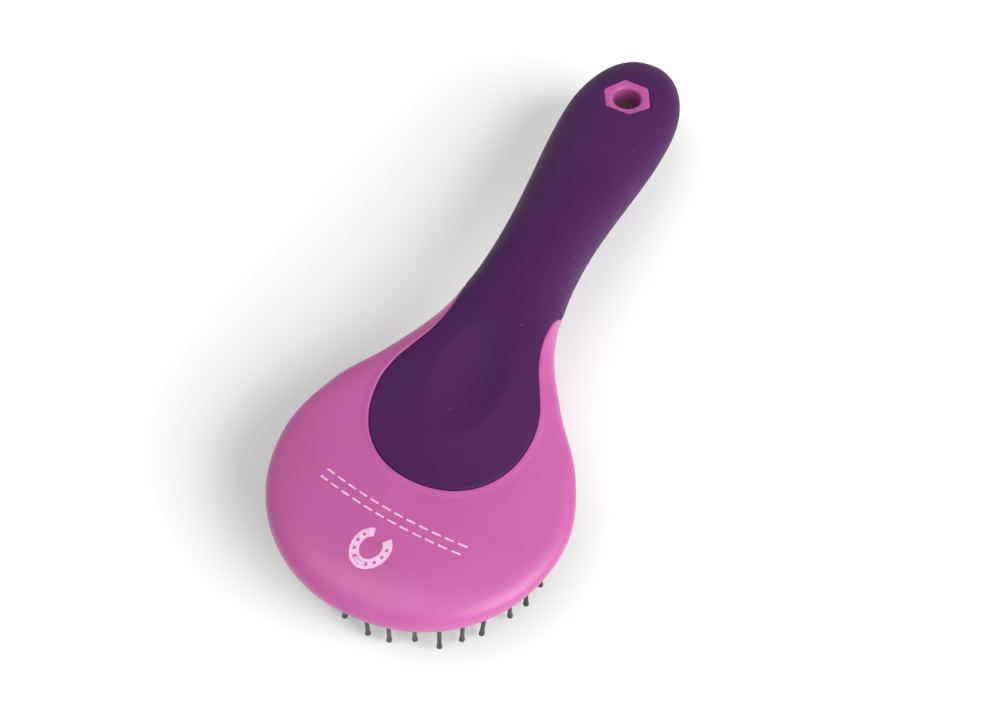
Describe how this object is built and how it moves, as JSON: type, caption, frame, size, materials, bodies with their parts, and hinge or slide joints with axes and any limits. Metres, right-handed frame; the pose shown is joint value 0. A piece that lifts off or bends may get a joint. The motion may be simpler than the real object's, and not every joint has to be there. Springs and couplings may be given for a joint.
{
  "type": "mane and tail brush",
  "caption": "Round-headed mane and tail pin brush: domed air cushion with rings of ball-tipped pins, soft-grip handle with thumb dimple and hang hole.",
  "frame": {"origin": "middle of the brush's footprint, on the plane of the lowest pin tip", "axes": "+Z out of the brush's back with the pins hanging down, +Y from the front of the head to the end of the handle, X across the head; the brush is symmetrical about X = 0 but for the turn of its hexagonal boss"},
  "size_m": [0.0848, 0.2198, 0.0441],
  "materials": {
    "pink_shell": "satin moulded polypropylene, bright orchid pink",
    "purple_grip": "matte soft-touch thermoplastic rubber, deep purple",
    "black_rubber": "matte black rubber",
    "dark_nylon": "dark grey nylon with a slight sheen"
  },
  "bodies": {
    "brush": {"body_shell": "pink_shell", "soft_grip": "purple_grip", "cushion_pad": "black_rubber"},
    "centre_pin": {"pin_centre": "dark_nylon"},
    "pins_ring_1": {"pin_ring_1": "dark_nylon"},
    "pins_ring_2": {"pin_ring_2": "dark_nylon"},
    "pins_ring_3": {"pin_ring_3": "dark_nylon"},
    "pins_ring_4": {"pin_ring_4": "dark_nylon"},
    "pins_ring_5": {"pin_ring_5": "dark_nylon"}
  },
  "joints": [
    {"name": "cushion_press", "type": "slide", "parent": "brush", "child": "centre_pin", "axis": [0, 0, 1], "range_m": [0, 0.002], "stiffness_N_per_m": 2500, "deforming": ["cushion_pad"]},
    {"name": "ring_1_press", "type": "slide", "parent": "brush", "child": "pins_ring_1", "axis": [0, 0, 1], "range_m": [0, 0.00193]},
    {"name": "ring_2_press", "type": "slide", "parent": "brush", "child": "pins_ring_2", "axis": [0, 0, 1], "range_m": [0, 0.00172]},
    {"name": "ring_3_press", "type": "slide", "parent": "brush", "child": "pins_ring_3", "axis": [0, 0, 1], "range_m": [0, 0.00136]},
    {"name": "ring_4_press", "type": "slide", "parent": "brush", "child": "pins_ring_4", "axis": [0, 0, 1], "range_m": [0, 0.000861]},
    {"name": "ring_5_press", "type": "slide", "parent": "brush", "child": "pins_ring_5", "axis": [0, 0, 1], "range_m": [0, 0.000219]}
  ],
  "couplings": [
    {"joint": "ring_1_press", "follows": "cushion_press", "ratio": 0.9644},
    {"joint": "ring_2_press", "follows": "cushion_press", "ratio": 0.8575},
    {"joint": "ring_3_press", "follows": "cushion_press", "ratio": 0.6793},
    {"joint": "ring_4_press", "follows": "cushion_press", "ratio": 0.4299},
    {"joint": "ring_5_press", "follows": "cushion_press", "ratio": 0.1091}
  ]
}
